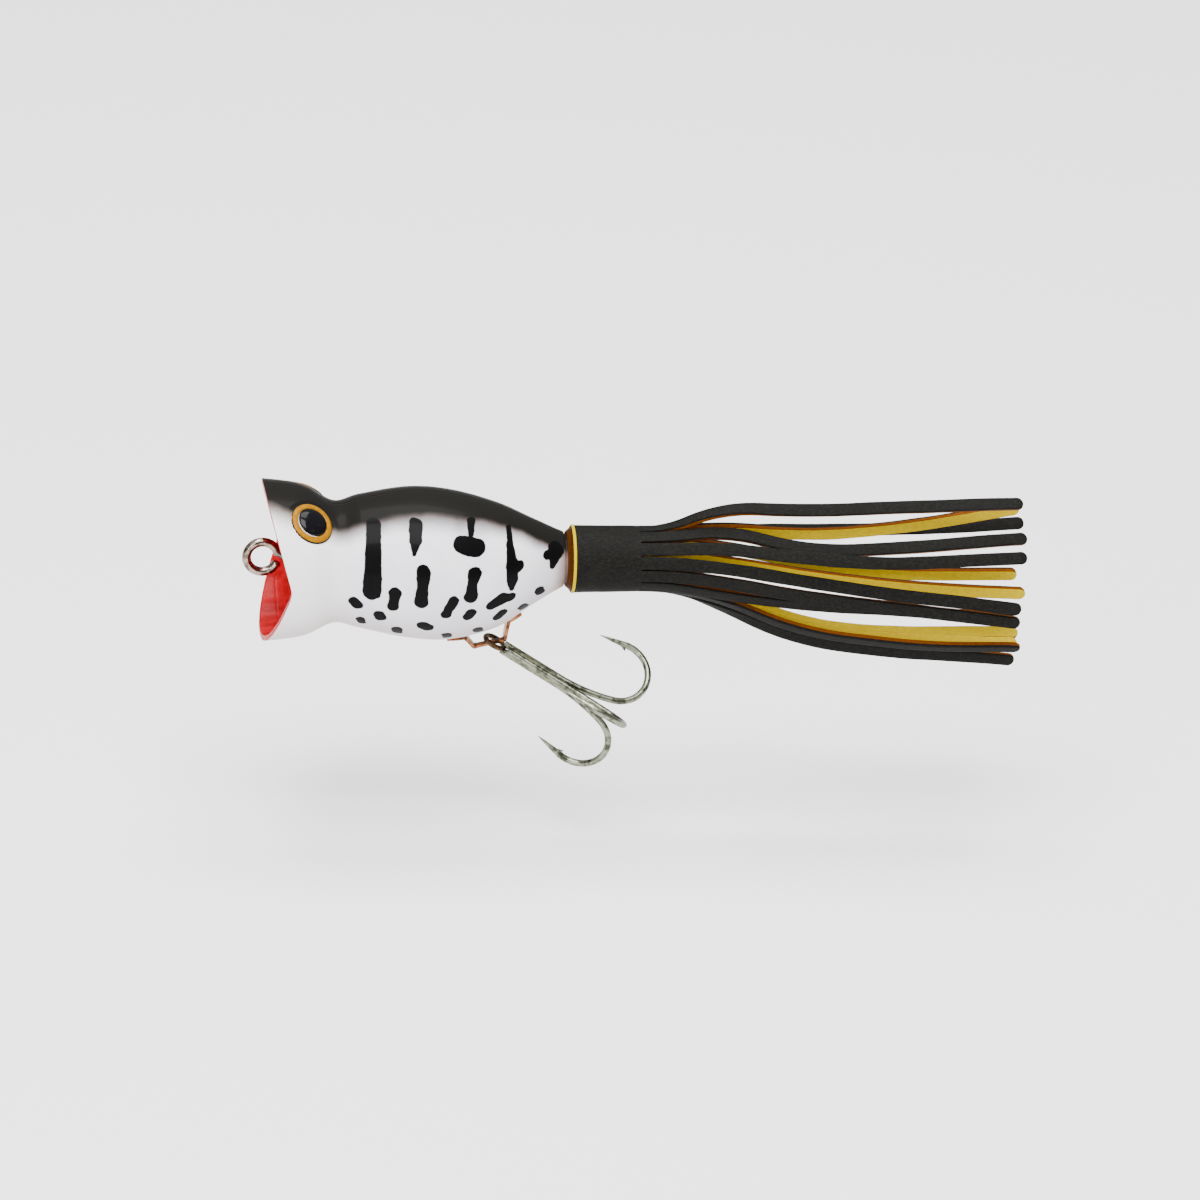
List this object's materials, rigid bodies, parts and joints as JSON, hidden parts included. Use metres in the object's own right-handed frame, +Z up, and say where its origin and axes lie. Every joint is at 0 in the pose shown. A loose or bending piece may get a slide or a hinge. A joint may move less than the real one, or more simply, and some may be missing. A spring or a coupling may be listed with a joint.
{
  "type": "topwater popper",
  "caption": "Topwater popper: hollow body with a cupped mouth and a line-tie eye, a treble hook swinging under the belly, and a slit rubber skirt on the tail.",
  "frame": {"origin": "centre of the line-tie eye's hole", "axes": "+X from the mouth towards the tail, +Y towards the lure's far side across the eye's hole, +Z up through the back"},
  "size_m": [0.1323, 0.0311, 0.0499],
  "materials": {
    "painted_body": "glossy clear coat over sprayed paint",
    "eye": "glossy",
    "nickel_wire": "bright nickel",
    "copper_strap": "bright copper flash",
    "hook_steel": "tinned",
    "braze": "dull braze",
    "black_rubber": "matt",
    "yellow_rubber": "satin"
  },
  "bodies": {
    "lure_body": {"body_left_shell": "painted_body", "body_right_shell": "painted_body", "eye_left": "eye", "eye_right": "eye", "line_tie_screw_eye": "nickel_wire", "belly_hanger": "copper_strap", "hanger_screw_front": "copper_strap", "hanger_screw_rear": "copper_strap"},
    "treble": {"treble_double_hook": "hook_steel", "treble_single_hook": "hook_steel", "treble_braze": "braze"},
    "skirt": {"skirt_collar_outer": "black_rubber", "skirt_collar_inner": "yellow_rubber"},
    "flare_01": {"strand_01": "black_rubber"},
    "flare_02": {"strand_02": "black_rubber"},
    "flare_03": {"strand_03": "black_rubber"},
    "flare_04": {"strand_04": "black_rubber"},
    "flare_05": {"strand_05": "black_rubber"},
    "flare_06": {"strand_06": "black_rubber"},
    "flare_07": {"strand_07": "black_rubber"},
    "flare_08": {"strand_08": "black_rubber"},
    "flare_09": {"strand_09": "black_rubber"},
    "flare_10": {"strand_10": "black_rubber"},
    "flare_11": {"strand_11": "black_rubber"},
    "flare_12": {"strand_12": "black_rubber"},
    "flare_13": {"strand_13": "black_rubber"},
    "flare_14": {"strand_14": "black_rubber"}
  },
  "joints": [
    {"name": "hook_swing", "type": "hinge", "parent": "lure_body", "child": "treble", "pos_m": [0.0395, 0, -0.0154], "axis": [0, 1, 0], "range_deg": [-3, 76]},
    {"name": "skirt_pull_off", "type": "slide", "parent": "lure_body", "child": "skirt", "axis": [1, 0, 0], "range_m": [0, 0.012]},
    {"name": "flare_01", "type": "hinge", "parent": "skirt", "child": "flare_01", "pos_m": [0.0633, 0, 0.00443], "axis": [0, -1, 0], "range_deg": [0, 25], "stiffness_Nm_per_rad": 0.0006},
    {"name": "flare_02", "type": "hinge", "parent": "skirt", "child": "flare_02", "pos_m": [0.0633, -0.00214, 0.00394], "axis": [0, -0.901, -0.4339], "range_deg": [0, 25], "stiffness_Nm_per_rad": 0.0006},
    {"name": "flare_03", "type": "hinge", "parent": "skirt", "child": "flare_03", "pos_m": [0.0633, -0.00385, 0.00257], "axis": [0, -0.6235, -0.7818], "range_deg": [0, 25], "stiffness_Nm_per_rad": 0.0006},
    {"name": "flare_04", "type": "hinge", "parent": "skirt", "child": "flare_04", "pos_m": [0.0633, -0.00481, 0.0006], "axis": [0, -0.2225, -0.9749], "range_deg": [0, 25], "stiffness_Nm_per_rad": 0.0006},
    {"name": "flare_05", "type": "hinge", "parent": "skirt", "child": "flare_05", "pos_m": [0.0633, -0.00481, -0.0016], "axis": [0, 0.2225, -0.9749], "range_deg": [0, 25], "stiffness_Nm_per_rad": 0.0006},
    {"name": "flare_06", "type": "hinge", "parent": "skirt", "child": "flare_06", "pos_m": [0.0633, -0.00385, -0.00357], "axis": [0, 0.6235, -0.7818], "range_deg": [0, 25], "stiffness_Nm_per_rad": 0.0006},
    {"name": "flare_07", "type": "hinge", "parent": "skirt", "child": "flare_07", "pos_m": [0.0633, -0.00214, -0.00494], "axis": [0, 0.901, -0.4339], "range_deg": [0, 25], "stiffness_Nm_per_rad": 0.0006},
    {"name": "flare_08", "type": "hinge", "parent": "skirt", "child": "flare_08", "pos_m": [0.0633, 0, -0.00543], "axis": [0, 1, 0], "range_deg": [0, 25], "stiffness_Nm_per_rad": 0.0006},
    {"name": "flare_09", "type": "hinge", "parent": "skirt", "child": "flare_09", "pos_m": [0.0633, 0.00214, -0.00494], "axis": [0, 0.901, 0.4339], "range_deg": [0, 25], "stiffness_Nm_per_rad": 0.0006},
    {"name": "flare_10", "type": "hinge", "parent": "skirt", "child": "flare_10", "pos_m": [0.0633, 0.00385, -0.00357], "axis": [0, 0.6235, 0.7818], "range_deg": [0, 25], "stiffness_Nm_per_rad": 0.0006},
    {"name": "flare_11", "type": "hinge", "parent": "skirt", "child": "flare_11", "pos_m": [0.0633, 0.00481, -0.0016], "axis": [0, 0.2225, 0.9749], "range_deg": [0, 25], "stiffness_Nm_per_rad": 0.0006},
    {"name": "flare_12", "type": "hinge", "parent": "skirt", "child": "flare_12", "pos_m": [0.0633, 0.00481, 0.0006], "axis": [0, -0.2225, 0.9749], "range_deg": [0, 25], "stiffness_Nm_per_rad": 0.0006},
    {"name": "flare_13", "type": "hinge", "parent": "skirt", "child": "flare_13", "pos_m": [0.0633, 0.00385, 0.00257], "axis": [0, -0.6235, 0.7818], "range_deg": [0, 25], "stiffness_Nm_per_rad": 0.0006},
    {"name": "flare_14", "type": "hinge", "parent": "skirt", "child": "flare_14", "pos_m": [0.0633, 0.00214, 0.00394], "axis": [0, -0.901, 0.4339], "range_deg": [0, 25], "stiffness_Nm_per_rad": 0.0006}
  ],
  "couplings": [
    {"joint": "flare_02", "follows": "flare_01", "ratio": 1},
    {"joint": "flare_03", "follows": "flare_01", "ratio": 1},
    {"joint": "flare_04", "follows": "flare_01", "ratio": 1},
    {"joint": "flare_05", "follows": "flare_01", "ratio": 1},
    {"joint": "flare_06", "follows": "flare_01", "ratio": 1},
    {"joint": "flare_07", "follows": "flare_01", "ratio": 1},
    {"joint": "flare_08", "follows": "flare_01", "ratio": 1},
    {"joint": "flare_09", "follows": "flare_01", "ratio": 1},
    {"joint": "flare_10", "follows": "flare_01", "ratio": 1},
    {"joint": "flare_11", "follows": "flare_01", "ratio": 1},
    {"joint": "flare_12", "follows": "flare_01", "ratio": 1},
    {"joint": "flare_13", "follows": "flare_01", "ratio": 1},
    {"joint": "flare_14", "follows": "flare_01", "ratio": 1}
  ]
}
